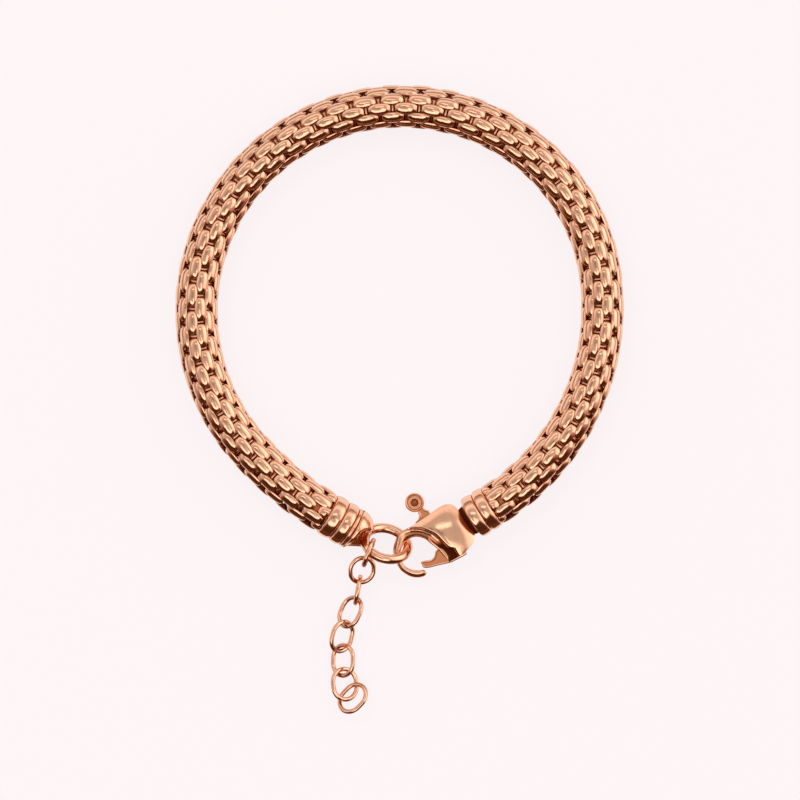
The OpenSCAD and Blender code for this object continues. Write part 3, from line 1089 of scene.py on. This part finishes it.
# Painted shade on the hood's inner side.
HOOD_INSIDE_SHADE = 0.25
SHOULDER_WIDTH = 0.3
SHOULDER_DROP = 0.12
CUT_MIDDLE = Vector((7.0, -1.0))
CUT_RIM = [(8.0, 1.5), (7.36, 1.5), (6.6, 1.42), (5.95, 1.2), (5.5, 0.75), (5.25, 0), (5.1, -0.8),
           (4.92, -1.9), (4.76, -2.6), (4.6, -3.6)]
HOOD_FOOT = [(0.04, 3.1), (0, 2.9), (0, -2.9), (0.04, -3.1), (0.3, -3.3)]
BOWL_CUTS = [((0, 0, 0.02), (0, 0, 1)), ((HOOD_START, 0, 0), (-1, 0, 0)),
             ((5.1, -2.85, 0), (0.5, -0.87, 0)), ((6.05, 1.2, 0), (0.88, 0.47, 0))]
BOWL_SKIN = 0.1
BOWL_SEGMENTS = 48
BOWL_RINGS = 32

hood_rim = smooth_line(CUT_RIM)
hood_edge = [HOOD_MIDDLE + HOOD_RADIUS * towards(math.radians(degrees)) for degrees in range(0, 90, 5)]
hood_edge += [Vector((HOOD_START + x, y)) for x, y in HOOD_FOOT]


def hood_form(angle, row, is_upper):
    near, far = reach(hood_rim, angle, CUT_MIDDLE), reach(hood_edge, angle, CUT_MIDDLE)
    near = min(near, far - LEAST_WIDTH) - (0 if is_upper else HOOD_LIP)
    radius = near + (far - near) * math.sin(math.pi / 2 * row / HOOD_ROWS)
    away = CUT_MIDDLE + radius * towards(angle) - HOOD_MIDDLE
    past_shoulder = (HOOD_START - HOOD_MIDDLE.x + SHOULDER_WIDTH - away.x) / SHOULDER_WIDTH
    shoulder = 1 - SHOULDER_DROP * min(max(past_shoulder, 0), 1) ** 2
    ball = HOOD_RADIUS if is_upper else HOOD_INSIDE
    height = max(ball ** 2 - away.length_squared, 0) ** 0.5
    return radius, height * shoulder, 0.0 if is_upper else HOOD_INSIDE_SHADE


def hood_bowl():
    shape = bmesh.new()
    middle = Vector((*HOOD_MIDDLE, 0)) * MM
    bmesh.ops.create_uvsphere(shape, u_segments=BOWL_SEGMENTS, v_segments=BOWL_RINGS, radius=HOOD_RADIUS * MM)
    bmesh.ops.translate(shape, verts=shape.verts, vec=middle)
    for place, away in BOWL_CUTS:
        bmesh.ops.bisect_plane(shape, geom=shape.verts[:] + shape.edges[:] + shape.faces[:],
                               plane_co=Vector(place) * MM, plane_no=away, clear_outer=True)
    bmesh.ops.solidify(shape, geom=shape.faces[:], thickness=(HOOD_RADIUS - HOOD_INSIDE) * MM)
    # The bowl's inner wall gets the painted orange reflection of the metal mirroring itself.
    hollow = shape.verts.layers.float.new("hollow")
    for v in shape.verts:
        v[hollow] = 1.0 if (v.co - middle).length < (HOOD_RADIUS - BOWL_SKIN) * MM else 0.0
    return finished(shape, "hood_bowl")


hood_top = finished(slab(HOOD_RAYS, HOOD_ROWS, hood_form, CUT_MIDDLE, mirrored=False), "hood_top")
hood_place = LEFT_CAP @ leaning(CAP_LEAN)
left_cap = cap("left_cap_ribs_and_hood", [(spun(LEFT_PROFILE, CAP_STEPS, leaning(CAP_LEAN)), LEFT_CAP),
                                          (hood_top, hood_place), (hood_bowl(), hood_place)])
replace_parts(left_cap, "end_cap_left")

# %% [markdown]
# The jump ring and the links are bent from round wire. A new torus would do for the ring, but the
# frame's wires already lie as they should, about a tenth of a millimetre from each other. The
# copies here fill a part of that play, to come closer to the stouter wire of the real ones. The
# sides of the wire, which don't face upwards, get a painted dark reflection that draws its darker
# outline.

# %% Ring and links
WIRE_SWELL = 0.03 * MM
WIRE_MERGE = 0.001 * MM
SHADE_FROM = 0.65
RING_SHADE = 0.2
LINK_SHADE = 1.2
LINKS = 8


def stout(name, shade):
    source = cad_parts[name]
    shape = bmesh.new()
    stamp(shape, source.data, source.matrix_world)
    bmesh.ops.remove_doubles(shape, verts=shape.verts, dist=WIRE_MERGE)
    bmesh.ops.recalc_face_normals(shape, faces=shape.faces)
    shape.normal_update()
    painted_shade = shape.verts.layers.float.new("painted_shade")
    for v, outward in [(v, v.normal.copy()) for v in shape.verts]:
        v.co += outward * WIRE_SWELL
        v.co.z = max(v.co.z, 0)
        # Painted dark reflection on the sides of the wire.
        v[painted_shade] = shade * min(max(1 - outward.z / SHADE_FROM, 0), 1)
    sharpen(shape)
    return piece_from(shape, name + "_wire", fitting_plating)


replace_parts(stout("jump_ring", RING_SHADE), "jump_ring")
for number in range(1, LINKS + 1):
    link = "extension_link_%d" % number
    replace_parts(stout(link, LINK_SHADE), link)

# %% [markdown]
# Of the frame's own pieces only the riveted pin stays in use, inside the clasp. Picking it out by
# name would do, but giving all of them the plain plating leaves no piece without a finish.

# %% Plate the frame's own pieces
for name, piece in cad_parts.items():
    piece.data.materials.clear()
    piece.data.materials.append(plating)
print("plated nodes", len(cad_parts))
